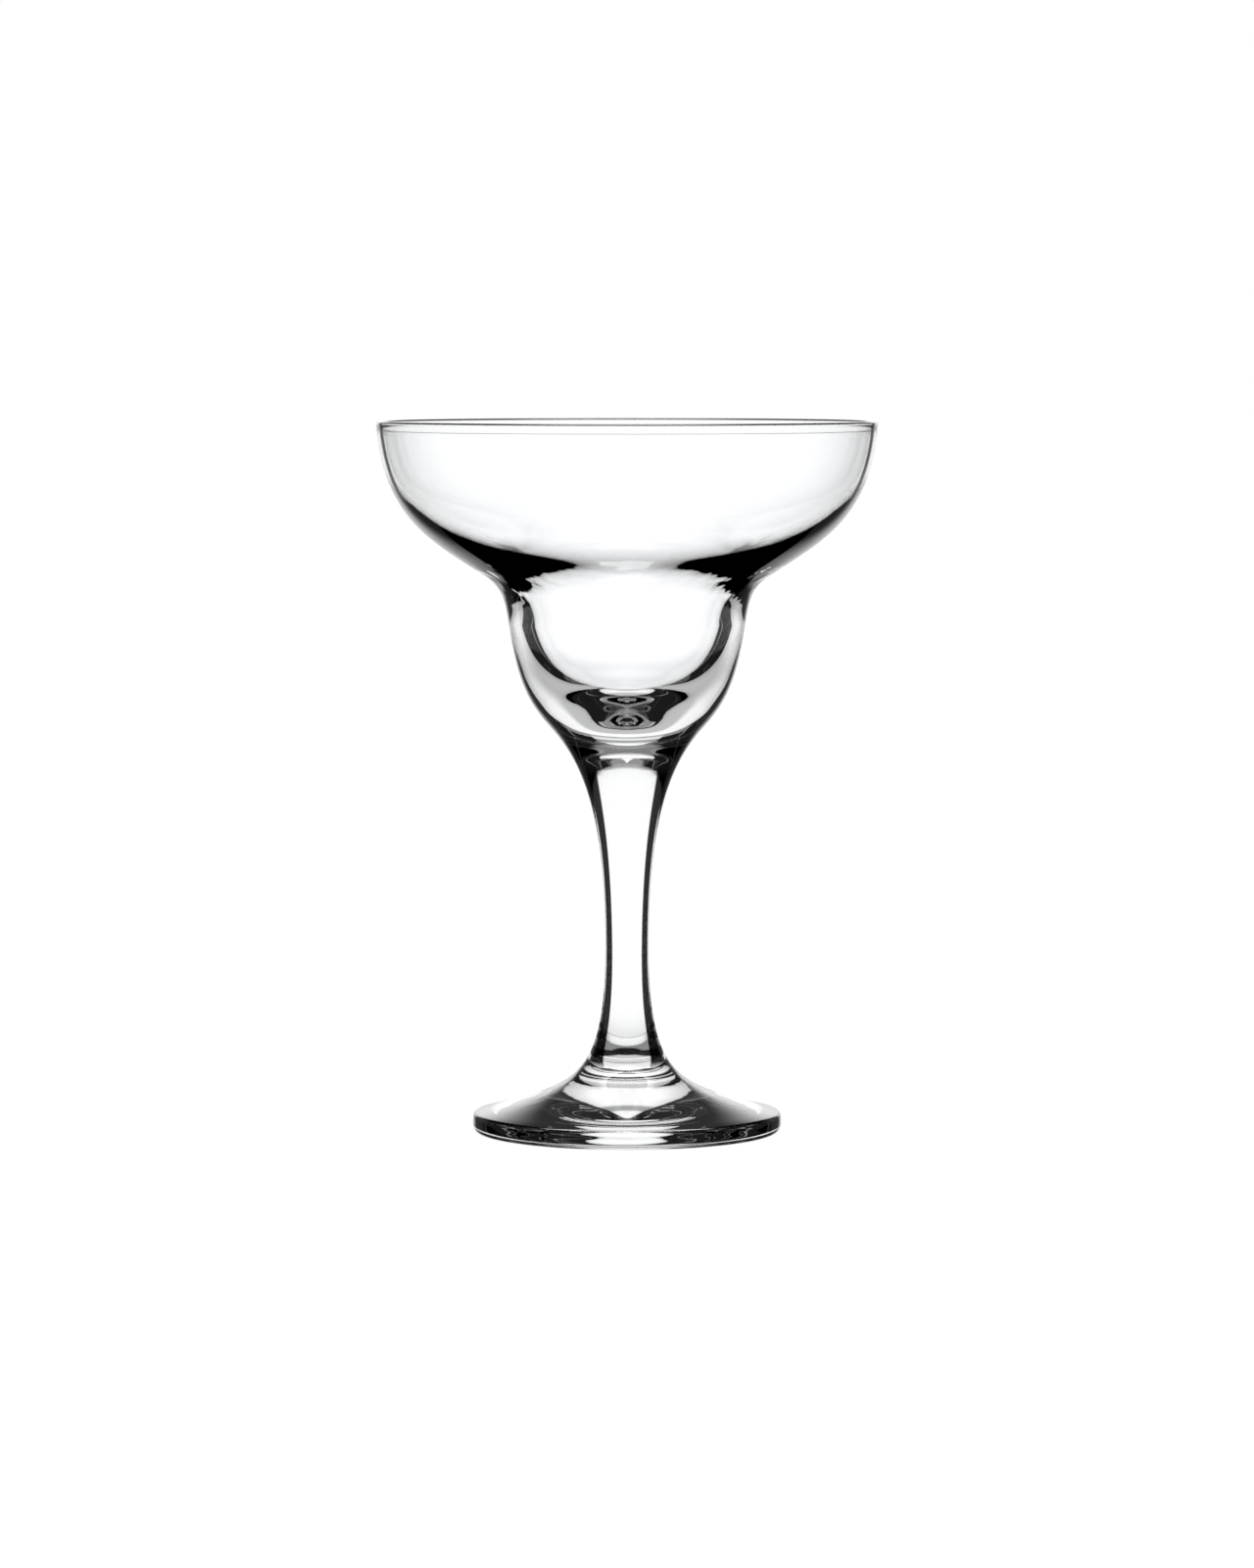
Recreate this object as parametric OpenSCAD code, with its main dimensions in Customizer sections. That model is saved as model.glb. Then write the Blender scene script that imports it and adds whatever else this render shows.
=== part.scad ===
// Margarita glass of clear glass: a wide coupe that steps down to a small cup,
// a solid waisted stem and a round flared foot. Each piece is turned round the
// upright axis. Millimetres, +Z up, origin on the table under the axis.

/* [Rim] */
// Outer diameter of the wall just under the rim
rim_d = 117.8; // [108:0.2:128]
// Thickness of the wall just under the rim
rim_wall = 1; // [0.7:0.1:1.4]
// How far the fire-polished bead stands out of the wall on each side
bead_stand = 0.05; // [0.02:0.01:0.3]
// Lean of the wall at the rim, in degrees from upright
rim_lean = 5; // [2:0.5:10]

/* [Coupe] */
// Outer diameter at the middle of the coupe's sloping underside
slope_d = 68; // [64:0.5:74]
// Height of the rim's top above the middle of that slope
coupe_h = 36; // [30:0.5:44]
// Lean of the wall there, in degrees from upright
slope_lean = 57.5; // [50:0.5:64]
// Thickness of the wall on the coupe's side
side_wall = 1.1; // [0.9:0.05:1.9]
// Lean of the inside on the coupe's side, in degrees from upright
side_lean = 27.5; // [24:0.5:32]
// Thickness of the wall where the coupe's side turns into its floor
dish_wall = 2; // [1.5:0.1:2.8]
// Lean of the inside there, in degrees from upright
dish_lean = 54; // [48:0.5:58]
// Thickness of the wall at the middle of the sloping underside
slope_wall = 3.3; // [2.6:0.1:4.2]
// Lean of the inside across from there, in degrees from upright
ledge_lean = 62; // [56:0.5:68]

/* [Cup] */
// Outer diameter halfway down the cup's side
cup_d = 55.3; // [50:0.1:60]
// Drop from the middle of the coupe's slope to the cup's side
shoulder_h = 13; // [11:0.5:17]
// Lean of the cup's side, in degrees from upright
cup_lean = 9; // [4:0.5:14]
// Inner diameter of the cup's mouth, where the coupe's floor turns down
mouth_d = 50.8; // [46:0.2:54]
// Height of the mouth above the middle of the cup's side outside
mouth_rise = 10.6; // [8:0.1:12]
// Lean of the inside at the mouth, in degrees from upright
mouth_lean = 34; // [22:1:44]
// Thickness of the cup's side
cup_wall = 5.5; // [4:0.1:7]
// Height above the outer side where that thickness is taken
well_rise = 1.9; // [0:0.1:4]
// Lean of the inner side, in degrees from upright
well_lean = 12; // [6:0.5:18]
// Inner diameter where the side rounds into the floor
round_d = 27.2; // [22:0.2:32]
// Height of that round above the floor
round_rise = 6.4; // [5:0.1:8]
// Lean of that round, in degrees from upright
round_lean = 55; // [46:1:62]
// Outer diameter at the round of the cup's base
base_d = 36.3; // [33:0.1:40]
// Drop from the cup's side to the round of the base
cup_h = 22.8; // [20:0.2:28]
// Lean of the round of the base, in degrees from upright
base_lean = 42; // [34:1:50]
// Drop from the round of the base to the seam with the stem
base_h = 6.7; // [5:0.1:9]
// Solid glass between the seam with the stem and the cup's floor
floor_h = 9.4; // [7:0.1:12]

/* [Stem] */
// Length of the stem between its two seams
stem_h = 73.2; // [55:0.2:95]
// Diameter of the seam between bowl and stem
seam_d = 26.5; // [22:0.1:30]
// Lean of the stem at that seam, in degrees from upright
seam_lean = 30; // [22:1:38]
// Diameter of the stem at its narrowest
waist_d = 10.3; // [8:0.1:14]
// Height of the narrowest place above the seam with the foot
waist_h = 27.2; // [20:0.2:34]
// Diameter of the seam between stem and foot
root_d = 21; // [18:0.1:24]
// Flare of the stem at that seam, in degrees from upright
root_flare = 38.5; // [30:0.5:48]

/* [Foot] */
// Widest diameter of the foot
foot_d = 73; // [66:0.5:84]
// Height of the foot at its seam with the stem
foot_h = 15.8; // [14:0.1:20]
// Height of the foot's upper face at its edge
edge_h = 4.6; // [4:0.1:6]
// Slope of the upper face at its edge, in degrees from upright
edge_flare = 77; // [72:0.5:82]
// How far in from the widest place the upper face turns down
edge_round = 1.05; // [0.6:0.05:2]
// Height of the foot's widest place above the table
nose_h = 2.15; // [1.4:0.05:3]
// How far in from the widest place the foot meets the table
sole_inset = 1.4; // [0.8:0.1:2.5]
// Width of the flat ring that the foot stands on
sole_w = 3.5; // [2:0.1:6]
// Rise of the hollow underside at the axis
hollow_h = 2; // [1:0.1:3.5]

/* [Smoothness] */
// Straight steps along each curve of an outline
curve_steps = 12; // [6:1:24]
// Sides of each round piece
round_sides = 96; // [48:4:180]

/* [Hidden] */

// Heights of the stations above the table
seam_z = foot_h + stem_h;
base_z = seam_z + base_h;
cup_z = base_z + cup_h;
slope_z = cup_z + shoulder_h;
glass_h = slope_z + coupe_h;
waist_z = foot_h + waist_h;
floor_z = seam_z + floor_h;

// The bead at the rim, centred on the wall
bead_r = rim_wall / 2 + bead_stand;
bead_mid_r = rim_d / 2 - rim_wall / 2;
bead_mid_z = glass_h - bead_r;
bead_turn = acos(rim_wall / 2 / bead_r);
rim_z = bead_mid_z - bead_r * sin(bead_turn);

// Slope at which the hollow underside leaves the ring it stands on
hollow_lean = 12;

// Stations of the outline: radius, height, lean towards the axis going down
rim_out = [rim_d / 2, rim_z, rim_lean];
slope_out = [slope_d / 2, slope_z, slope_lean];
cup_out = [cup_d / 2, cup_z, cup_lean];
base_out = [base_d / 2, base_z, base_lean];
seam_out = [seam_d / 2, seam_z, seam_lean];
waist_out = [waist_d / 2, waist_z, 0];
root_out = [root_d / 2, foot_h, -root_flare];
edge_out = [foot_d / 2 - edge_round, edge_h, -edge_flare];
nose_out = [foot_d / 2, nose_h, 0];
sole_out = [foot_d / 2 - sole_inset, 0, 90];
sole_in = [foot_d / 2 - sole_inset - sole_w, 0, 90 + hollow_lean];
hollow_in = [0, hollow_h, 90];

// Reach of each curve's two handles, as shares of the straight distance
rim_to_slope_shares = [0.5, 0.36];
slope_to_cup_shares = [0.4, 0.5];
cup_to_base_shares = [0.53, 0.29];
base_to_seam_shares = [0.32, 0.35];
seam_to_waist_shares = [0.22, 0.52];
waist_to_root_shares = [0.49, 0.21];
root_to_edge_shares = [0.13, 0.74];
edge_shares = [0.4, 0.45];
hollow_shares = [0.3, 0.4];
inner_rim_shares = [0.38, 0.3];
inner_side_shares = [0.34, 0.34];
dish_shares = [0.36, 0.36];
ledge_shares = [0.38, 0.28];
mouth_shares = [0.2, 0.3];
well_shares = [0.35, 0.36];
inner_floor_shares = [0.34, 0.5];

// Where the coupe's wall is measured, as shares of the outer curve
side_share = 0.3;
dish_share = 0.65;
slope_share = 1;
coupe_controls = controls(rim_out, slope_out, rim_to_slope_shares);

// Stations of the inside, down to the cup's floor
rim_in = [rim_d / 2 - rim_wall, rim_z, rim_lean];
side_in = inside(side_share, side_wall, side_lean);
dish_in = inside(dish_share, dish_wall, dish_lean);
slope_in = inside(slope_share, slope_wall, ledge_lean);
mouth_in = [mouth_d / 2, cup_z + mouth_rise, mouth_lean];
well_in = [cup_d / 2 - cup_wall, cup_z + well_rise, well_lean];
round_in = [round_d / 2, floor_z + round_rise, round_lean];
floor_in = [0, floor_z, 90];

// Point a share of the way from one point to the next
function between(a, b, share) = a + (b - a) * share;

// Point on the curve that a list of control points draws
function on_curve(points, share) =
    len(points) < 2
        ? points[0]
        : on_curve(
            [for (i = [1:len(points) - 1]) between(points[i - 1], points[i], share)],
            share
        );

// Direction of the outline going down, for a lean towards the axis
function downward(lean) = [-sin(lean), -cos(lean)];

// Control points of the curve from one station down to the next
function controls(from, to, reach_shares) =
    let (
        start = place(from),
        end = place(to),
        reach = norm(end - start)
    )
    [
        start,
        start + downward(from.z) * reach * reach_shares.x,
        end - downward(to.z) * reach * reach_shares.y,
        end
    ];

// Way that a curve takes at a share of it
function heading(points, share) =
    on_curve([for (i = [1:len(points) - 1]) points[i] - points[i - 1]], share);

// Station with a lean of its own, square across the wall from the outer curve
function inside(share, wall, lean) =
    let (
        outer = on_curve(coupe_controls, share),
        way = heading(coupe_controls, share),
        across = [way.y, -way.x] / norm(way)
    )
    [outer.x + across.x * wall, outer.y + across.y * wall, lean];

// Radius and height of a station
function place(station) = [station.x, station.y];

// Points of the curve from one station down to the next, without the first
function span(from, to, reach_shares) =
    let (points = controls(from, to, reach_shares))
    [for (i = [1:curve_steps]) on_curve(points, i / curve_steps)];

// The same points in the other order
function backwards(points) = [for (i = [len(points) - 1:-1:0]) points[i]];

// Points round the bead, from the wall's inner side over the top to its outer side
function bead_points() =
    [
        for (i = [0:curve_steps])
            let (turn = between(180 + bead_turn, -bead_turn, i / curve_steps))
            [bead_mid_r + bead_r * cos(turn), bead_mid_z + bead_r * sin(turn)]
    ];

// Solid of revolution that an outline of radii and heights encloses
module turned(points) {
    rotate_extrude($fn = round_sides)
        polygon(points);
}

module bowl() {
    inner = concat(
        span(rim_in, side_in, inner_rim_shares),
        span(side_in, dish_in, inner_side_shares),
        span(dish_in, slope_in, dish_shares),
        span(slope_in, mouth_in, ledge_shares),
        span(mouth_in, well_in, mouth_shares),
        span(well_in, round_in, well_shares),
        span(round_in, floor_in, inner_floor_shares)
    );
    outer = concat(
        span(rim_out, slope_out, rim_to_slope_shares),
        span(slope_out, cup_out, slope_to_cup_shares),
        span(cup_out, base_out, cup_to_base_shares),
        span(base_out, seam_out, base_to_seam_shares)
    );
    color([0.86, 0.92, 0.94, 0.6])
        turned(concat(
            backwards(inner),
            bead_points(),
            outer,
            [[0, seam_z]]
        ));
}

module stem() {
    side = concat(
        [place(seam_out)],
        span(seam_out, waist_out, seam_to_waist_shares),
        span(waist_out, root_out, waist_to_root_shares)
    );
    color([0.78, 0.86, 0.9, 0.6])
        turned(concat(
            [[0, seam_z]],
            side,
            [[0, foot_h]]
        ));
}

module foot() {
    top = concat(
        [place(root_out)],
        span(root_out, edge_out, root_to_edge_shares),
        span(edge_out, nose_out, edge_shares),
        span(nose_out, sole_out, edge_shares)
    );
    underside = concat(
        [place(sole_in)],
        span(sole_in, hollow_in, hollow_shares)
    );
    color([0.82, 0.89, 0.92, 0.6])
        turned(concat(
            [[0, foot_h]],
            top,
            underside
        ));
}

bowl();
stem();
foot();
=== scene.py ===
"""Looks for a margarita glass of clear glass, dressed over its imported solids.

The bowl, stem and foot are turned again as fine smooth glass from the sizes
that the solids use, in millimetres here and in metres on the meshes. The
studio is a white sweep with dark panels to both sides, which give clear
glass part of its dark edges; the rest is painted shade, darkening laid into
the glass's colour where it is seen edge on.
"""

import logging
from dataclasses import dataclass, field
from enum import Enum
from math import acos, cos, degrees, pi, radians, sin

import bmesh
import bpy
from mathutils import Matrix, Vector
from mathutils.geometry import interpolate_bezier


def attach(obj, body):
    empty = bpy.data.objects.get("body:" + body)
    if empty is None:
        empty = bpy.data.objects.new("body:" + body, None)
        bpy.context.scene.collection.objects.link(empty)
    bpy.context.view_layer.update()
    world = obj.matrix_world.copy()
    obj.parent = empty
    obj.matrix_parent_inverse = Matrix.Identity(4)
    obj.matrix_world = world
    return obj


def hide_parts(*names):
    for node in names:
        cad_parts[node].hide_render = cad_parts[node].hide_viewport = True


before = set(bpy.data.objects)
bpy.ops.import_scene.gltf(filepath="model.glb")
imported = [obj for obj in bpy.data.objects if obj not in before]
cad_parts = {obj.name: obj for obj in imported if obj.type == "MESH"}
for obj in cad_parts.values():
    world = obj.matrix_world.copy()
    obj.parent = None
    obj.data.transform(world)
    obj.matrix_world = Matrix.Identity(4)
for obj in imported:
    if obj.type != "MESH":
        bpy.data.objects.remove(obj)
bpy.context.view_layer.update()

log = logging.getLogger("margarita_glass")
MM = 0.001
AXIS = Vector((0.0, 0.0, 1.0))
WHITE = (1.0, 1.0, 1.0, 1.0)
SAME_PLACE = 1e-6
SAME_POINT = 1e-7
TINY = 1e-9

Span = tuple[float, float]
Colour = tuple[float, float, float, float]


@dataclass(frozen=True)
class Station:
    """A place that an outline passes through, going down the glass.

    Attributes:
        radius: distance from the upright axis, in mm.
        height: height above the table, in mm.
        lean: lean of the outline towards the axis, in degrees from upright.
    """

    radius: float
    height: float
    lean: float

    def point(self) -> Vector:
        """Gives the station's place in the plane of the outline, in metres."""
        return Vector((self.radius, 0.0, self.height)) * MM

    def heading(self) -> Vector:
        """Gives the direction of the outline here, going down."""
        lean = radians(self.lean)
        return Vector((-sin(lean), 0.0, -cos(lean)))


@dataclass(frozen=True)
class Reach:
    """How far a curve's two handles go, as shares of the straight distance."""

    leaving: float
    arriving: float


def handles(start: Station, end: Station, reach: Reach) -> list[Vector]:
    """Gives the control points of the curve from one station down to the next.

    Args:
        start: the upper station.
        end: the lower station.
        reach: how far the curve's handles go.

    Returns:
        Both ends with the two handles between them, in metres.
    """
    top, foot = start.point(), end.point()
    span = (foot - top).length
    return [
        top,
        top + start.heading() * span * reach.leaving,
        foot - end.heading() * span * reach.arriving,
        foot,
    ]


def on_curve(points: list[Vector], share: float) -> Vector:
    """Gives the place that a list of control points draws at a share.

    Args:
        points: the control points.
        share: how far along the curve, from 0 to 1.

    Returns:
        The place.
    """
    while len(points) > 1:
        points = [a.lerp(b, share) for a, b in zip(points, points[1:])]
    return points[0]


@dataclass(frozen=True)
class Sizes:
    """Driving sizes of the whole glass, in mm and degrees."""

    rim_d: float = 117.8
    rim_wall: float = 1.0
    bead_stand: float = 0.05
    rim_lean: float = 5.0
    slope_d: float = 68.0
    coupe_h: float = 36.0
    slope_lean: float = 57.5
    side_wall: float = 1.1
    side_share: float = 0.3
    side_lean: float = 27.5
    dish_wall: float = 2.0
    dish_share: float = 0.65
    dish_lean: float = 54.0
    slope_wall: float = 3.3
    ledge_lean: float = 62.0
    cup_d: float = 55.3
    shoulder_h: float = 13.0
    cup_lean: float = 9.0
    mouth_d: float = 50.8
    mouth_rise: float = 10.6
    mouth_lean: float = 34.0
    cup_wall: float = 5.5
    well_rise: float = 1.9
    well_lean: float = 12.0
    round_d: float = 27.2
    round_rise: float = 6.4
    round_lean: float = 55.0
    base_d: float = 36.3
    cup_h: float = 22.8
    base_lean: float = 42.0
    base_h: float = 6.7
    floor_h: float = 9.4
    stem_h: float = 73.2
    seam_d: float = 26.5
    seam_lean: float = 30.0
    waist_d: float = 10.3
    waist_h: float = 27.2
    root_d: float = 21.0
    root_flare: float = 38.5
    foot_d: float = 73.0
    foot_h: float = 15.8
    edge_h: float = 4.6
    edge_flare: float = 77.0
    edge_round: float = 1.05
    nose_h: float = 2.15
    sole_inset: float = 1.4
    sole_w: float = 3.5
    hollow_h: float = 2.0
    hollow_lean: float = 12.0
    coupe_reach: Reach = Reach(0.5, 0.36)

    @property
    def seam_z(self) -> float:
        """Height of the seam between bowl and stem."""
        return self.foot_h + self.stem_h

    @property
    def slope_z(self) -> float:
        """Height of the middle of the coupe's sloping underside."""
        return self.seam_z + self.base_h + self.cup_h + self.shoulder_h

    @property
    def glass_h(self) -> float:
        """Height of the rim's top."""
        return self.slope_z + self.coupe_h

    @property
    def bead_r(self) -> float:
        """Radius of the fire-polished bead's section."""
        return self.rim_wall / 2 + self.bead_stand

    @property
    def bead_turn(self) -> float:
        """Angle below level at which the bead meets the wall, in radians."""
        return acos(self.rim_wall / 2 / self.bead_r)

    @property
    def rim_out(self) -> Station:
        """Outside of the wall where the bead begins."""
        drop = self.bead_r * (1 + sin(self.bead_turn))
        return Station(self.rim_d / 2, self.glass_h - drop, self.rim_lean)

    @property
    def slope_out(self) -> Station:
        """Middle of the coupe's sloping underside."""
        return Station(self.slope_d / 2, self.slope_z, self.slope_lean)

    def inside(self, share: float, wall: float, lean: float) -> Station:
        """Gives a station square across the wall from the coupe's outside.

        Args:
            share: how far along the outer curve the wall is measured.
            wall: thickness of the wall there.
            lean: lean of the inside there, in degrees from upright.

        Returns:
            The station.
        """
        points = handles(self.rim_out, self.slope_out, self.coupe_reach)
        way = on_curve([b - a for a, b in zip(points, points[1:])], share)
        across = Vector((way.z, 0.0, -way.x)).normalized() * wall
        place = on_curve(points, share) / MM + across
        return Station(place.x, place.z, lean)

    @property
    def side_in(self) -> Station:
        """Inside of the coupe's upper side."""
        return self.inside(self.side_share, self.side_wall, self.side_lean)

    @property
    def dish_in(self) -> Station:
        """Inside of the coupe where its floor begins."""
        return self.inside(self.dish_share, self.dish_wall, self.dish_lean)

    @property
    def slope_in(self) -> Station:
        """Inside of the coupe across from the middle of its slope."""
        return self.inside(1.0, self.slope_wall, self.ledge_lean)

    @property
    def cup_out(self) -> Station:
        """Side of the cup."""
        height = self.slope_z - self.shoulder_h
        return Station(self.cup_d / 2, height, self.cup_lean)

    @property
    def mouth_in(self) -> Station:
        """Inside of the step where the coupe's floor turns down into the cup."""
        height = self.cup_out.height + self.mouth_rise
        return Station(self.mouth_d / 2, height, self.mouth_lean)

    @property
    def well_in(self) -> Station:
        """Inside of the cup's thick side."""
        return Station(
            self.cup_d / 2 - self.cup_wall,
            self.cup_out.height + self.well_rise,
            self.well_lean,
        )

    @property
    def floor_in(self) -> Station:
        """Lowest place of the cup's inside, on the axis."""
        return Station(0.0, self.seam_z + self.floor_h, 90.0)

    @property
    def round_in(self) -> Station:
        """Inside of the cup where its side rounds into its floor."""
        height = self.floor_in.height + self.round_rise
        return Station(self.round_d / 2, height, self.round_lean)

    @property
    def base_out(self) -> Station:
        """Round of the cup's base."""
        return Station(self.base_d / 2, self.seam_z + self.base_h, self.base_lean)

    @property
    def seam_out(self) -> Station:
        """Seam between bowl and stem."""
        return Station(self.seam_d / 2, self.seam_z, self.seam_lean)

    @property
    def waist_out(self) -> Station:
        """Narrowest place of the stem."""
        return Station(self.waist_d / 2, self.foot_h + self.waist_h, 0.0)

    @property
    def root_out(self) -> Station:
        """Seam between stem and foot."""
        return Station(self.root_d / 2, self.foot_h, -self.root_flare)


@dataclass
class Outline:
    """Points of a turned piece's outline, from one end to the other.

    Attributes:
        steps: straight steps along each curve.
        points: the points so far, in metres, in the plane of X and Z.
    """

    steps: int = 24
    points: list[Vector] = field(default_factory=list)

    def add(self, place: Vector) -> "Outline":
        """Adds one point, unless the outline is already there.

        Args:
            place: the point, in metres.

        Returns:
            The outline itself.
        """
        if not self.points or (self.points[-1] - place).length > SAME_POINT:
            self.points.append(place)
        return self

    def down(self, start: Station, end: Station, reach: Reach) -> "Outline":
        """Adds the curve from one station down to the next.

        Args:
            start: station where the curve begins.
            end: station where it ends.
            reach: how far its handles go.

        Returns:
            The outline itself.
        """
        for place in self.curve(start, end, reach):
            self.add(place)
        return self

    def up(self, start: Station, end: Station, reach: Reach) -> "Outline":
        """Adds the curve that goes down from start to end, from its lower end.

        Args:
            start: the upper station.
            end: the lower station.
            reach: how far its handles go, as seen going down.

        Returns:
            The outline itself.
        """
        for place in reversed(self.curve(start, end, reach)):
            self.add(place)
        return self

    def curve(self, start: Station, end: Station, reach: Reach) -> list[Vector]:
        """Works out the curve between two stations, going down.

        Args:
            start: the upper station.
            end: the lower station.
            reach: how far its handles go.

        Returns:
            Its points, both ends included.
        """
        return interpolate_bezier(*handles(start, end, reach), self.steps + 1)


def grey(value: float) -> Colour:
    """Gives an even grey.

    Args:
        value: its brightness, from 0 to 1.

    Returns:
        The colour.
    """
    return (value, value, value, 1.0)


class Glass(Enum):
    """Names for each piece's glass, which no material or slot here takes."""

    BOWL = "bowl_glass"
    STEM = "stem_glass"
    FOOT = "foot_glass"


class Socket:
    """A shader value that takes part in sums as a number does."""

    def __init__(self, nodes: "Nodes", link: bpy.types.NodeSocket) -> None:
        """Wraps an output socket.

        Args:
            nodes: the builder that adds the Math nodes.
            link: the output socket.
        """
        self.nodes = nodes
        self.link = link

    def _math(self, kind: str, *values: object) -> "Socket":
        """Adds a Math node on the given values."""
        return self.nodes.add(
            "ShaderNodeMath", {"operation": kind}, dict(enumerate(values))
        )

    def __add__(self, other: object) -> "Socket":
        """Sum of this value and another."""
        return self._math("ADD", self, other)

    __radd__ = __add__

    def __sub__(self, other: object) -> "Socket":
        """This value less another."""
        return self._math("SUBTRACT", self, other)

    def __rsub__(self, other: object) -> "Socket":
        """Another value less this one."""
        return self._math("SUBTRACT", other, self)

    def __mul__(self, other: object) -> "Socket":
        """Product of this value and another."""
        return self._math("MULTIPLY", self, other)

    __rmul__ = __mul__

    def __truediv__(self, other: object) -> "Socket":
        """This value divided by another."""
        return self._math("DIVIDE", self, other)

    def __rtruediv__(self, other: object) -> "Socket":
        """Another value divided by this one."""
        return self._math("DIVIDE", other, self)

    def __pow__(self, other: object) -> "Socket":
        """This value to a power."""
        return self._math("POWER", self, other)

    def __abs__(self) -> "Socket":
        """Size of this value without its sign."""
        return self._math("ABSOLUTE", self)

    def at_least(self, other: object) -> "Socket":
        """The larger of this value and another."""
        return self._math("MAXIMUM", self, other)

    def at_most(self, other: object) -> "Socket":
        """The smaller of this value and another."""
        return self._math("MINIMUM", self, other)

    def step(self, low: float, high: float) -> "Socket":
        """Rises smoothly from 0 at low to 1 at high.

        Args:
            low: value at which the rise begins.
            high: value at which it ends.

        Returns:
            The smooth step as a value.
        """
        return self.nodes.add(
            "ShaderNodeMapRange",
            {"interpolation_type": "SMOOTHSTEP"},
            {"Value": self, "From Min": low, "From Max": high},
            "Result",
        )

    def band(self, start: Span, end: Span) -> "Socket":
        """Rises smoothly from 0 to 1 over one span and falls back over another.

        Args:
            start: values between which it rises.
            end: values between which it falls.

        Returns:
            The band as a value.
        """
        return self.step(*start) - self.step(*end)


class Nodes:
    """Adds nodes to one tree."""

    def __init__(self, tree: bpy.types.NodeTree) -> None:
        """Takes a tree and empties it.

        Args:
            tree: node tree of a material or of the world.
        """
        self.tree = tree
        tree.nodes.clear()

    def add(
        self,
        kind: str,
        settings: dict[str, object] | None = None,
        sockets: dict[str | int, object] | None = None,
        output: str | int = 0,
    ) -> Socket:
        """Adds a node, sets it up and links it.

        Args:
            kind: the node's type.
            settings: attributes to set on the node before its sockets.
            sockets: values or links of its inputs, by name or place.
            output: the output to give back.

        Returns:
            The chosen output, or the node's first.
        """
        node = self.tree.nodes.new(kind)
        for name, value in (settings or {}).items():
            setattr(node, name, value)
        for name, value in (sockets or {}).items():
            if isinstance(value, Socket):
                self.tree.links.new(value.link, node.inputs[name])
            else:
                node.inputs[name].default_value = value
        return Socket(self, node.outputs[output]) if node.outputs else None

    def angle(self, rise: Socket, run: Socket) -> Socket:
        """Gives the angle of a slope.

        Args:
            rise: the side opposite the angle.
            run: the side next to it.

        Returns:
            The angle in degrees.
        """
        turn = self.add("ShaderNodeMath", {"operation": "ARCTAN2"}, {0: rise, 1: run})
        return turn * degrees(1.0)

    def split(self, vector: Socket) -> tuple[Socket, Socket, Socket]:
        """Gives the three parts of a vector.

        Args:
            vector: the vector to take apart.

        Returns:
            Its X, Y and Z.
        """
        first = self.add("ShaderNodeSeparateXYZ", None, {"Vector": vector})
        outputs = first.link.node.outputs
        return tuple(Socket(self, outputs[axis]) for axis in ("X", "Y", "Z"))

    def noise(self, place: Socket, size: float, detail: float) -> Socket:
        """Gives soft random waves.

        Args:
            place: the place to give them for.
            size: width of the waves, in the unit of the place.
            detail: how many finer waves are added.

        Returns:
            Their height.
        """
        sockets = {"Vector": place, "Scale": 1 / size, "Detail": detail}
        return self.add("ShaderNodeTexNoise", None, sockets)

    def mix(self, share: object, first: object, second: object) -> Socket:
        """Mixes two colours.

        Args:
            share: how much of the second colour there is.
            first: the first colour.
            second: the second colour.

        Returns:
            The mixed colour.
        """
        sockets = {0: share, 6: first, 7: second}
        return self.add("ShaderNodeMix", {"data_type": "RGBA"}, sockets, 2)


@dataclass(frozen=True)
class Mark:
    """A band of small waves that the mould or the joining left round the glass.

    Attributes:
        height: middle of the band, in mm above the table.
        reach: how far it goes up and down from there, in mm.
        depth: depth of its waves, in m.
        size: width of its waves, in m.
        turn: how fast they change round the glass, as a share of up and down.
        front: how much of them is left away from the mould's two joints.
    """

    height: float
    reach: float
    depth: float
    size: float
    turn: float = 1.0
    front: float = 1.0

    def waves(self, nodes: Nodes, place: Socket, up: Socket, joint: Socket) -> Socket:
        """Gives the height of the band's waves.

        Args:
            nodes: the material's nodes.
            place: the place on the glass, in m.
            up: its height above the table, in m.
            joint: 1 at the mould's two joints, 0 away from them.

        Returns:
            The height, in m.
        """
        squeeze = (self.turn, self.turn, 1.0)
        rings = nodes.add(
            "ShaderNodeMapping", None, {"Vector": place, "Scale": squeeze}
        )
        away = abs(up - self.height * MM)
        band = 1 - away.step(0.0, self.reach * MM)
        band = band * (self.front + (1 - self.front) * joint)
        return nodes.noise(rings, self.size, 1.0) * band * self.depth


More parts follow.
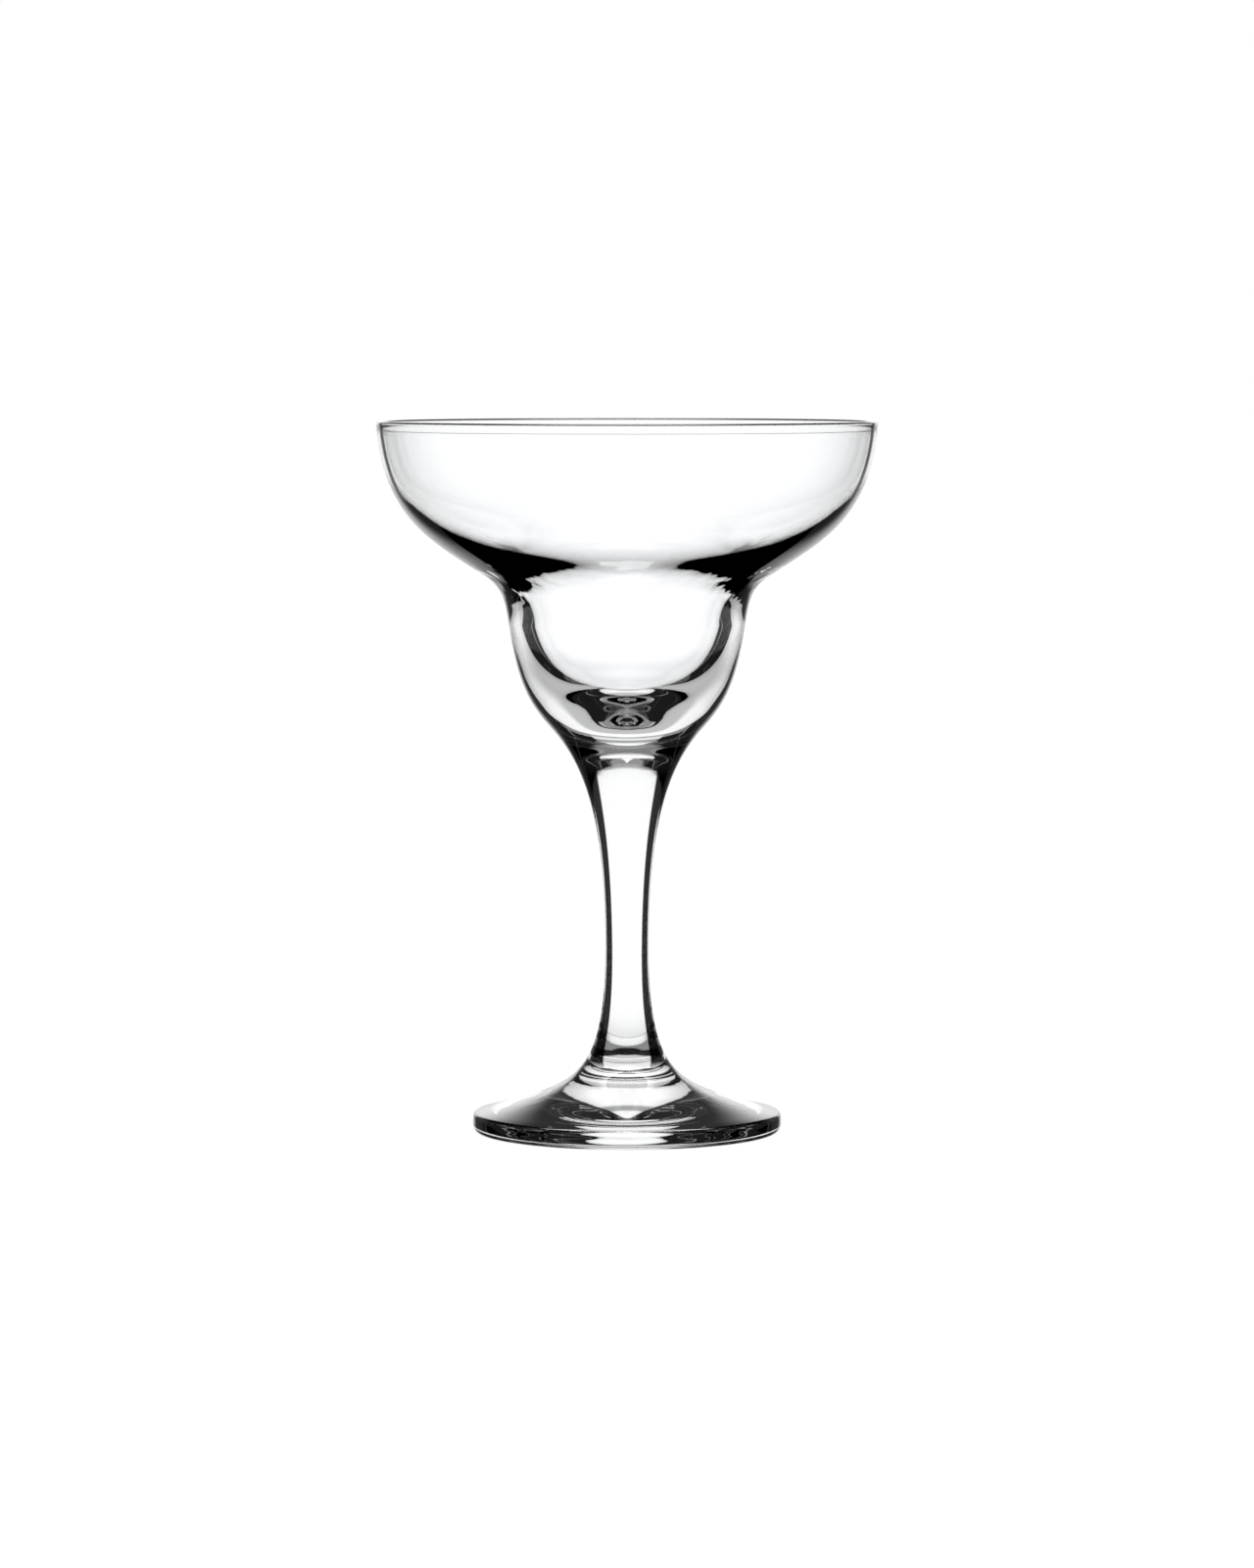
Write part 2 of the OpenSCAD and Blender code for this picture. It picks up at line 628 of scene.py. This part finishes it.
@dataclass(frozen=True)
class PaintedEdgeShade:
    """Painted shade: darkening laid into the glass's colour where it is seen edge on.

    How edge on a surface is seen goes from 0, square to it, to 1, along it.
    Heights are in mm above the table.

    Attributes:
        line: brightness of the painted shade line along the coupe's edges.
        line_start: how edge on the glass is where that line begins.
        line_end: how edge on it is where the line ends.
        line_rise: heights between which the line comes up.
        outward: how far a surface faces outwards where the line comes up.
        lip: heights between which painted shade darkens the rim's top.
        flank: brightness of the painted shade on the stem's flanks.
        flank_start: how edge on the stem is where a flank begins.
        flank_end: how edge on it is where the flank ends.
        flank_rise: heights between which the flanks come up.
        flank_top: heights between which they end.
        widening: how much sooner a flank begins low on the stem.
        widening_end: heights between which that is lost.
        tip: how edge on the foot's top is where painted shade darkens its tips.
        tip_rise: heights between which that comes up.
        tip_top: heights between which it ends.
    """

    line: float = 0.01
    line_start: Span = (0.76, 0.79)
    line_end: Span = (0.83, 0.86)
    line_rise: Span = (146.0, 150.0)
    outward: Span = (0.0, 0.01)
    lip: Span = (167.0, 167.1)
    flank: float = 0.001
    flank_start: Span = (0.3, 0.335)
    flank_end: Span = (0.62, 0.7)
    flank_rise: Span = (14.0, 17.0)
    flank_top: Span = (84.0, 92.0)
    widening: float = 0.07
    widening_end: Span = (30.0, 80.0)
    tip: Span = (0.76, 0.84)
    tip_rise: Span = (3.6, 4.4)
    tip_top: Span = (5.3, 6.6)

    def colour(self, nodes: Nodes, place: Socket, tint: Colour) -> Socket:
        """Gives the glass's colour with painted shade at its edges.

        Args:
            nodes: the material's nodes.
            place: the place on the glass, in m.
            tint: colour of the glass elsewhere.

        Returns:
            The colour.
        """
        x, y, up = nodes.split(place)
        height = up / MM
        normal = nodes.add("ShaderNodeNewGeometry", output="Normal")
        normal_x, normal_y, _ = nodes.split(normal)
        graze = nodes.add("ShaderNodeLayerWeight", None, {"Blend": 0.5}, "Facing")
        # painted shade: a dark line where the coupe is seen edge on, and the rim's
        # top
        line = graze.band(self.line_start, self.line_end)
        line = line * (x * normal_x + y * normal_y).step(*self.outward)
        line = line * height.step(*self.line_rise)
        line = line.at_least(height.step(*self.lip))
        # painted shade on the foot's tips
        tip = graze.step(*self.tip) * height.band(self.tip_rise, self.tip_top)
        # painted shade on the stem's flanks where they are seen edge on
        wide = graze + self.widening * (1 - height.step(*self.widening_end))
        flank = wide.step(*self.flank_start) - graze.step(*self.flank_end)
        flank = flank * height.band(self.flank_rise, self.flank_top)
        # the painted shade is mixed into the glass's own tint
        line_and_tip_shaded = nodes.mix(line.at_least(tip), tint, grey(self.line))
        return nodes.mix(flank, line_and_tip_shaded, grey(self.flank))


@dataclass(frozen=True)
class ClearGlass:
    """Clear soda-lime glass with the soft marks that making leaves, and painted shade
    at its edges.

    Attributes:
        name: the material's name.
        tint: colour of the glass, very near white.
        index: how strongly it bends light.
        swell: depth of the broad waves in the surface, in m.
        swell_size: width of those waves, in m.
        ripple: depth of the fine marks, in m.
        ripple_size: width of the fine marks, in m.
        joint: share of the distance from the axis that lies along X, between
            which the mould's two joints come up.
        marks: bands of small waves.
        edges: painted shade, darkening laid into the colour where the glass is seen
            edge on.
    """

    name: str
    tint: Colour = (0.99, 0.995, 1.0, 1.0)
    index: float = 1.51
    swell: float = 0.00001
    swell_size: float = 0.02
    ripple: float = 0.000002
    ripple_size: float = 0.004
    joint: Span = (0.82, 0.97)
    marks: tuple[Mark, ...] = (
        Mark(130.5, 5.0, 0.0004, 0.004, 1.0, 0.2),
        Mark(93.0, 6.0, 0.00008, 0.003, 0.25, 0.5),
        Mark(10.0, 5.0, 0.00012, 0.004, 1.0, 0.3),
        Mark(2.5, 3.0, 0.00004, 0.002, 0.2),
    )
    # painted shade at the edges, laid into the glass's colour
    edges: PaintedEdgeShade = PaintedEdgeShade()

    def material(self) -> bpy.types.Material:
        """Builds the glass.

        Returns:
            The material.
        """
        material = bpy.data.materials.new(self.name)
        material.use_nodes = True
        nodes = Nodes(material.node_tree)
        place = nodes.add("ShaderNodeTexCoord", output="Object")
        broad = nodes.noise(place, self.swell_size, 1.0)
        fine = nodes.noise(place, self.ripple_size, 2.0)
        height = broad * self.swell + fine * self.ripple
        x, y, up = nodes.split(place)
        joint = (abs(x) / (x * x + y * y + TINY) ** 0.5).step(*self.joint)
        for mark in self.marks:
            height = height + mark.waves(nodes, place, up, joint)
        bump = nodes.add(
            "ShaderNodeBump",
            None,
            {"Strength": 1.0, "Distance": 1.0, "Height": height},
        )
        glass = nodes.add(
            "ShaderNodeBsdfPrincipled",
            None,
            {
                # Base Color carries the painted edge shade
                "Base Color": self.edges.colour(nodes, place, self.tint),
                "Roughness": 0.0,
                "IOR": self.index,
                "Transmission Weight": 1.0,
                "Normal": bump,
            },
        )
        nodes.add("ShaderNodeOutputMaterial", None, {"Surface": glass})
        return material


@dataclass(frozen=True)
class FusedSeam:
    """The inside of a fused seam, where glass runs on into glass."""

    name: str = "fused_seam"

    def material(self) -> bpy.types.Material:
        """Builds the seam's inner face, which nothing shows.

        Returns:
            The material.
        """
        material = bpy.data.materials.new(self.name)
        material.use_nodes = True
        nodes = Nodes(material.node_tree)
        clear = nodes.add(
            "ShaderNodeBsdfPrincipled",
            None,
            {"Base Color": WHITE, "Alpha": 0.0},
        )
        nodes.add("ShaderNodeOutputMaterial", None, {"Surface": clear})
        return material


@dataclass
class TurnedPiece:
    """A piece of glass turned round the upright axis.

    Attributes:
        sizes: sizes of the whole glass.
        seam: material of the fused faces inside the glass.
        turns: steps round the axis.
        name: the piece's name.
        node: name of the solid that it takes the place of.
        finish: which piece's glass it is; not used.
        glass: its glass.
    """

    sizes: Sizes
    seam: bpy.types.Material
    turns: int = 256
    name: str = "piece"
    node: str = "piece"
    finish: Glass = Glass.BOWL
    glass: ClearGlass = ClearGlass("clear_glass")

    def outline(self) -> Outline:
        """Gives the piece's outline, from the axis round to the axis."""
        raise NotImplementedError

    def seams(self) -> list[float]:
        """Heights of the flat fused faces, in mm."""
        raise NotImplementedError

    def build(self) -> bpy.types.Object:
        """Turns the outline, dresses it, hangs it on the root body and hides the
        solid that it takes the place of.

        Returns:
            The finished piece.
        """
        mesh = bpy.data.meshes.new(self.name)
        shape = bmesh.new()
        verts = [shape.verts.new(place) for place in self.outline().points]
        edges = [shape.edges.new(pair) for pair in zip(verts, verts[1:])]
        bmesh.ops.spin(
            shape,
            geom=verts + edges,
            cent=Vector(),
            axis=AXIS,
            angle=2 * pi,
            steps=self.turns,
            use_merge=True,
            use_normal_flip=False,
            use_duplicate=False,
        )
        bmesh.ops.remove_doubles(shape, verts=shape.verts, dist=SAME_PLACE)
        bmesh.ops.recalc_face_normals(shape, faces=shape.faces)
        self.mark_seams(shape)
        shape.to_mesh(mesh)
        shape.free()
        piece = bpy.data.objects.new(self.name, mesh)
        bpy.context.scene.collection.objects.link(piece)
        mesh.materials.append(self.glass.material())
        mesh.materials.append(self.seam)
        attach(piece, "root")
        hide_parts(self.node)
        log.info("%s: %d faces", self.name, len(mesh.polygons))
        return piece

    def mark_seams(self, shape: bmesh.types.BMesh) -> None:
        """Shades the glass smooth and gives the fused faces their own material.

        Args:
            shape: the turned mesh.
        """
        for face in shape.faces:
            face.smooth = True
            for height in self.seams():
                away = max(abs(vert.co.z - height * MM) for vert in face.verts)
                if away < SAME_PLACE:
                    face.material_index = 1
        for edge in shape.edges:
            kinds = {face.material_index for face in edge.link_faces}
            edge.smooth = len(kinds) == 1


@dataclass
class Bowl(TurnedPiece):
    """The coupe, its step, the small cup and the solid base under it."""

    name: str = "glass_bowl"
    node: str = "bowl"
    finish: Glass = Glass.BOWL
    glass: ClearGlass = ClearGlass("glass_bowl_clear")
    shoulder_reach: Reach = Reach(0.4, 0.5)
    side_reach: Reach = Reach(0.53, 0.29)
    base_reach: Reach = Reach(0.32, 0.35)
    inner_rim_reach: Reach = Reach(0.38, 0.3)
    inner_side_reach: Reach = Reach(0.34, 0.34)
    dish_reach: Reach = Reach(0.36, 0.36)
    ledge_reach: Reach = Reach(0.38, 0.28)
    mouth_reach: Reach = Reach(0.2, 0.3)
    well_reach: Reach = Reach(0.35, 0.36)
    inner_floor_reach: Reach = Reach(0.34, 0.5)

    def outline(self) -> Outline:
        """Goes up the inside, over the bead and down the outside.

        Returns:
            The outline.
        """
        size = self.sizes
        rim = size.rim_out
        rim_in = Station(rim.radius - size.rim_wall, rim.height, size.rim_lean)
        line = Outline()
        line.up(size.round_in, size.floor_in, self.inner_floor_reach)
        line.up(size.well_in, size.round_in, self.well_reach)
        line.up(size.mouth_in, size.well_in, self.mouth_reach)
        line.up(size.slope_in, size.mouth_in, self.ledge_reach)
        line.up(size.dish_in, size.slope_in, self.dish_reach)
        line.up(size.side_in, size.dish_in, self.inner_side_reach)
        line.up(rim_in, size.side_in, self.inner_rim_reach)
        middle = Vector(
            (size.rim_d / 2 - size.rim_wall / 2, 0.0, size.glass_h - size.bead_r)
        )
        sweep = pi + 2 * size.bead_turn
        for step in range(line.steps + 1):
            turn = pi + size.bead_turn - sweep * step / line.steps
            arm = Vector((cos(turn), 0.0, sin(turn))) * size.bead_r
            line.add((middle + arm) * MM)
        line.down(rim, size.slope_out, size.coupe_reach)
        line.down(size.slope_out, size.cup_out, self.shoulder_reach)
        line.down(size.cup_out, size.base_out, self.side_reach)
        line.down(size.base_out, size.seam_out, self.base_reach)
        return line.add(Vector((0.0, 0.0, size.seam_z)) * MM)

    def seams(self) -> list[float]:
        """Gives the seam with the stem."""
        return [self.sizes.seam_z]


@dataclass
class Stem(TurnedPiece):
    """The solid waisted stem."""

    name: str = "glass_stem"
    node: str = "stem"
    finish: Glass = Glass.STEM
    glass: ClearGlass = ClearGlass("glass_stem_clear")
    upper_reach: Reach = Reach(0.22, 0.52)
    lower_reach: Reach = Reach(0.49, 0.21)

    def outline(self) -> Outline:
        """Goes out along the upper seam, down the side and in along the lower.

        Returns:
            The outline.
        """
        size = self.sizes
        line = Outline()
        line.add(Vector((0.0, 0.0, size.seam_z)) * MM)
        line.down(size.seam_out, size.waist_out, self.upper_reach)
        line.down(size.waist_out, size.root_out, self.lower_reach)
        return line.add(Vector((0.0, 0.0, size.foot_h)) * MM)

    def seams(self) -> list[float]:
        """Gives the seams with the bowl and with the foot."""
        return [self.sizes.seam_z, self.sizes.foot_h]


@dataclass
class Foot(TurnedPiece):
    """The round flared foot with its hollow underside."""

    name: str = "glass_foot"
    node: str = "foot"
    finish: Glass = Glass.FOOT
    glass: ClearGlass = ClearGlass("glass_foot_clear")
    top_reach: Reach = Reach(0.13, 0.74)
    edge_reach: Reach = Reach(0.4, 0.45)
    hollow_reach: Reach = Reach(0.3, 0.4)

    def outline(self) -> Outline:
        """Goes out along the seam, over the top, round the edge and in below.

        Returns:
            The outline.
        """
        size = self.sizes
        widest = size.foot_d / 2
        edge = Station(widest - size.edge_round, size.edge_h, -size.edge_flare)
        nose = Station(widest, size.nose_h, 0.0)
        sole = Station(widest - size.sole_inset, 0.0, 90.0)
        ring = Station(sole.radius - size.sole_w, 0.0, 90.0 + size.hollow_lean)
        line = Outline()
        line.add(Vector((0.0, 0.0, size.foot_h)) * MM)
        line.down(size.root_out, edge, self.top_reach)
        line.down(edge, nose, self.edge_reach)
        line.down(nose, sole, self.edge_reach)
        line.add(ring.point())
        return line.down(ring, Station(0.0, size.hollow_h, 90.0), self.hollow_reach)

    def seams(self) -> list[float]:
        """Gives the seam with the stem."""
        return [self.sizes.foot_h]


@dataclass(frozen=True)
class Backdrop:
    """The white backdrop and the table, as the outside of the glass mirrors them.

    Angles are in degrees, to the side of straight ahead or above the horizon.

    Attributes:
        glow: its full brightness.
        side: angles aside between which the backdrop ends.
        side_loss: share of the light that is gone there.
        far_side: angles aside between which its dim surroundings end.
        far_loss: share of the light that is gone there as well.
        top: heights between which the backdrop ends overhead.
        top_loss: share of the light that is gone there.
        table_start: heights between which the table begins.
        table: heights between which the table brightens.
        wall: heights between which the backdrop brightens.
        dim: share of the light before either of those.
    """

    glow: float = 1.9
    side: Span = (15.0, 26.0)
    side_loss: float = 0.88
    far_side: Span = (40.0, 50.0)
    far_loss: float = 0.11
    top: Span = (14.0, 29.0)
    top_loss: float = 0.92
    table_start: Span = (-29.0, -27.5)
    table: Span = (-28.0, -8.0)
    wall: Span = (-2.0, 13.0)
    dim: float = 0.5

    def light(self, aside: Socket, up: Socket) -> Socket:
        """Gives the brightness that the outside mirrors.

        Args:
            aside: angle to the side of straight ahead or behind, in degrees.
            up: height above the horizon, in degrees.

        Returns:
            The brightness.
        """
        across = 1 - aside.step(*self.side) * self.side_loss
        across = across - aside.step(*self.far_side) * self.far_loss
        top = 1 - up.step(*self.top) * self.top_loss
        table = self.dim + (1 - self.dim) * up.step(*self.table)
        table = table * up.step(*self.table_start)
        wall = self.dim + (1 - self.dim) * up.step(*self.wall)
        return across * top * table * wall * self.glow


@dataclass(frozen=True)
class Sweep:
    """The white sweep by height, as light that went into the glass sees it.

    Heights are in degrees above the horizon.

    Attributes:
        shade: share of the light that is lost low down.
        turned_shade: share that light which turned back loses there besides.
        shade_end: heights between which that shade ends.
        under: heights between which light that turned back begins to see it.
        gap_start: heights between which the gap under the ceiling begins.
        gap_end: heights between which that gap ends.
        gap_loss: share of the light that is lost there.
    """

    shade: float = 0.2
    turned_shade: float = 0.25
    shade_end: Span = (-30.0, -14.0)
    under: Span = (-74.0, -66.0)
    gap_start: Span = (34.0, 42.0)
    gap_end: Span = (49.0, 54.0)
    gap_loss: float = 0.6

    def light(self, up: Socket, turned: Socket) -> Socket:
        """Gives the sweep's brightness.

        Args:
            up: height above the horizon, in degrees.
            turned: 1 for light that turned back inside the glass, else 0.

        Returns:
            Its share of the full brightness.
        """
        shade = self.shade + self.turned_shade * turned
        low = 1 - shade * (1 - up.step(*self.shade_end))
        low = low * (1 - turned * (1 - up.step(*self.under)))
        return low * (1 - up.band(self.gap_start, self.gap_end) * self.gap_loss)


@dataclass(frozen=True)
class Floor:
    """The pale floor, which the camera and matt light see.

    Attributes:
        radius: its radius, in m.
        sides: straight sides of its edge.
        drop: how far it lies below the glass, in m.
        paint: brightness of its matt colour.
        glow: brightness of the light that hides its shade.
        shadow: share of the matt colour under the glass.
        shadow_end: distances from the axis between which that ends, in m.
    """

    radius: float = 6.0
    sides: int = 96
    drop: float = 0.0001
    paint: float = 0.9
    glow: float = 1.07
    shadow: float = 0.15
    shadow_end: Span = (0.08, 0.4)

    def build(self) -> bpy.types.Object:
        """Lays the floor that the glass stands on.

        Returns:
            The floor.
        """
        shape = bmesh.new()
        bmesh.ops.create_circle(
            shape,
            cap_ends=True,
            segments=self.sides,
            radius=self.radius,
            matrix=Matrix(),
        )
        mesh = bpy.data.meshes.new("studio_floor")
        shape.to_mesh(mesh)
        shape.free()
        floor = bpy.data.objects.new("studio_floor", mesh)
        bpy.context.scene.collection.objects.link(floor)
        floor.location = (0.0, 0.0, -self.drop)
        mesh.materials.append(self.material())
        return floor

    def material(self) -> bpy.types.Material:
        """Builds the floor's colour, which light from the glass passes through.

        Returns:
            The material.
        """
        material = bpy.data.materials.new("studio_floor")
        material.use_nodes = True
        nodes = Nodes(material.node_tree)
        matt = nodes.add("ShaderNodeBsdfDiffuse", None, {"Color": grey(self.paint)})
        glow = nodes.add(
            "ShaderNodeEmission", None, {"Color": WHITE, "Strength": self.glow}
        )
        x, y, _ = nodes.split(nodes.add("ShaderNodeTexCoord", output="Object"))
        away = ((x * x + y * y) ** 0.5).step(*self.shadow_end)
        lit = 1 - self.shadow + self.shadow * away
        mixed = nodes.add("ShaderNodeMixShader", None, {0: lit, 1: matt, 2: glow})
        path = nodes.add("ShaderNodeLightPath")
        outputs = path.link.node.outputs
        glossy = Socket(nodes, outputs["Is Glossy Ray"])
        passed = Socket(nodes, outputs["Is Transmission Ray"])
        clear = nodes.add("ShaderNodeBsdfTransparent")
        shown = nodes.add(
            "ShaderNodeMixShader",
            None,
            {0: glossy.at_least(passed), 1: mixed, 2: clear},
        )
        nodes.add("ShaderNodeOutputMaterial", None, {"Surface": shown})
        return material


@dataclass(frozen=True)
class Camera:
    """The camera, where the photograph was taken from.

    Attributes:
        lens: focal length, in mm.
        sensor: width of the sensor, in mm.
        distance: distance from the glass's axis, in m.
        height: height above the table, in m.
        tilt: how far it looks down, in degrees.
        near: nearest distance that it sees, in m.
        far: farthest distance that it sees, in m.
    """

    lens: float = 136.28
    sensor: float = 36.0
    distance: float = 1.395
    height: float = 0.1847
    tilt: float = 4.207
    near: float = 0.01
    far: float = 50.0

    def build(self) -> bpy.types.Object:
        """Stands the camera in front of the glass.

        Returns:
            The camera.
        """
        data = bpy.data.cameras.new("studio_camera")
        data.lens = self.lens
        data.sensor_width = self.sensor
        data.sensor_fit = "AUTO"
        data.clip_start = self.near
        data.clip_end = self.far
        camera = bpy.data.objects.new("studio_camera", data)
        bpy.context.scene.collection.objects.link(camera)
        camera.location = (0.0, -self.distance, self.height)
        camera.rotation_euler = (radians(90.0 - self.tilt), 0.0, 0.0)
        bpy.context.scene.camera = camera
        return camera


@dataclass(frozen=True)
class Surroundings:
    """The world: a white sweep with dark panels to both sides.

    What the glass shows depends on the way that light takes through it. Light
    straight through sees white all round. Light that turned back inside the
    glass sees one white window behind the glass, between the dark panels. The
    outside mirrors the backdrop and the table, and the camera sees white.
    Angles are in degrees, to the side of straight ahead or above the horizon.

    Attributes:
        backdrop: what the outside of the glass mirrors.
        sweep: how bright the sweep is by height.
        mirror_end: heights between which the mirrored backdrop ends.
        window: angles aside between which the white window ends.
        fade: angles aside between which it fades.
        fade_loss: share of the light that it has lost then.
        strip_start: angles aside between which the thin grey strip begins.
        strip_end: angles aside between which that strip ends.
        strip_glow: brightness of that strip.
        behind: heights between which the dim light behind the camera ends.
        behind_glow: brightness of that light.
        roof: heights between which the ceiling begins.
        roof_glow: brightness of the ceiling.
        lamp: heights between which the light overhead begins that the outside
            mirrors.
        lamp_glow: brightness of that light.
        dark: brightness of the dark panels.
        gain: brightness of the sweep, which makes up for the light that the
            glass sends back.
        thin_gain: the same through both walls of the bowl.
        thin: numbers of surfaces passed between which that one applies.
        entered: numbers of surfaces passed between which light is inside.
        ahead: parts of the way along Y between which it leads from the camera.
    """

    backdrop: Backdrop = Backdrop()
    sweep: Sweep = Sweep()
    mirror_end: Span = (44.0, 50.0)
    window: Span = (27.5, 29.5)
    fade: Span = (14.0, 32.0)
    fade_loss: float = 0.3
    strip_start: Span = (47.7, 48.3)
    strip_end: Span = (49.5, 50.1)
    strip_glow: float = 0.25
    behind: Span = (-12.0, -9.0)
    behind_glow: float = 0.45
    roof: Span = (68.0, 74.0)
    roof_glow: float = 0.27
    lamp: Span = (56.0, 74.0)
    lamp_glow: float = 8.0
    dark: float = 0.012
    gain: float = 1.1
    thin_gain: float = 1.28
    thin: Span = (2.5, 3.5)
    entered: Span = (0.2, 0.8)
    ahead: Span = (0.0, 0.05)

    def build(self) -> bpy.types.World:
        """Builds the world.

        Returns:
            The world.
        """
        world = bpy.data.worlds.new("studio_world")
        bpy.context.scene.world = world
        world.use_nodes = True
        nodes = Nodes(world.node_tree)
        way = nodes.add("ShaderNodeTexCoord", output="Generated")
        x, y, z = nodes.split(way)
        aside = nodes.angle(abs(x), abs(y))
        up = nodes.angle(z, (x * x + y * y) ** 0.5)
        ahead = y.step(*self.ahead)
        path = nodes.add("ShaderNodeLightPath")
        outputs = path.link.node.outputs
        seen = Socket(nodes, outputs["Is Camera Ray"])
        diffuse = Socket(nodes, outputs["Is Diffuse Ray"])
        turned = Socket(nodes, outputs["Glossy Depth"]).at_most(1.0)
        depth = Socket(nodes, outputs["Transmission Depth"])
        outside = 1 - depth.step(*self.entered)
        strip = aside.band(self.strip_start, self.strip_end) * self.strip_glow
        inner = self.inner(aside, up, ahead, turned, depth.step(*self.thin), strip)
        mirrored = self.backdrop.light(aside, up) * ahead + strip
        low = outside * (1 - up.step(*self.mirror_end))
        lit = inner + (mirrored - inner) * low
        lit = lit + up.step(*self.lamp) * outside * self.lamp_glow
        plain = seen.at_least(diffuse)
        light = nodes.add(
            "ShaderNodeBackground",
            None,
            {"Color": WHITE, "Strength": lit + (1 - lit) * plain},
        )
        nodes.add("ShaderNodeOutputWorld", None, {"Surface": light})
        return world

    def inner(
        self,
        aside: Socket,
        up: Socket,
        ahead: Socket,
        turned: Socket,
        thin: Socket,
        strip: Socket,
    ) -> Socket:
        """Gives what light that went through the glass sees.

        Args:
            aside: angle to the side of straight ahead or behind, in degrees.
            up: height above the horizon, in degrees.
            ahead: 1 for light that leads away from the camera, else 0.
            turned: 1 for light that turned back inside the glass, else 0.
            thin: 1 for light through both walls of the bowl, else 0.
            strip: brightness of the thin grey strip.

        Returns:
            The brightness.
        """
        fade = 1 - aside.step(*self.fade) * self.fade_loss
        window = (1 - aside.step(*self.window)) * fade
        behind = (1 - up.step(*self.behind)) * (1 - ahead) * self.behind_glow
        once = (window * ahead + strip).at_least(behind)
        lit = 1 + (once - 1) * turned
        gain = self.gain + (self.thin_gain - self.gain) * thin
        lit = lit * self.sweep.light(up, turned) * gain
        return lit.at_least(up.step(*self.roof) * self.roof_glow).at_least(self.dark)


def main() -> None:
    """Builds the glass and its studio in order."""
    logging.basicConfig(level=logging.INFO, format="%(name)s: %(message)s")
    bpy.context.scene.view_settings.view_transform = "Standard"
    for stage in (Camera(), Surroundings(), Floor()):
        stage.build()
    sizes = Sizes()
    seam = FusedSeam().material()
    for kind in (Bowl, Stem, Foot):
        kind(sizes, seam).build()


if __name__ == "__main__":
    main()
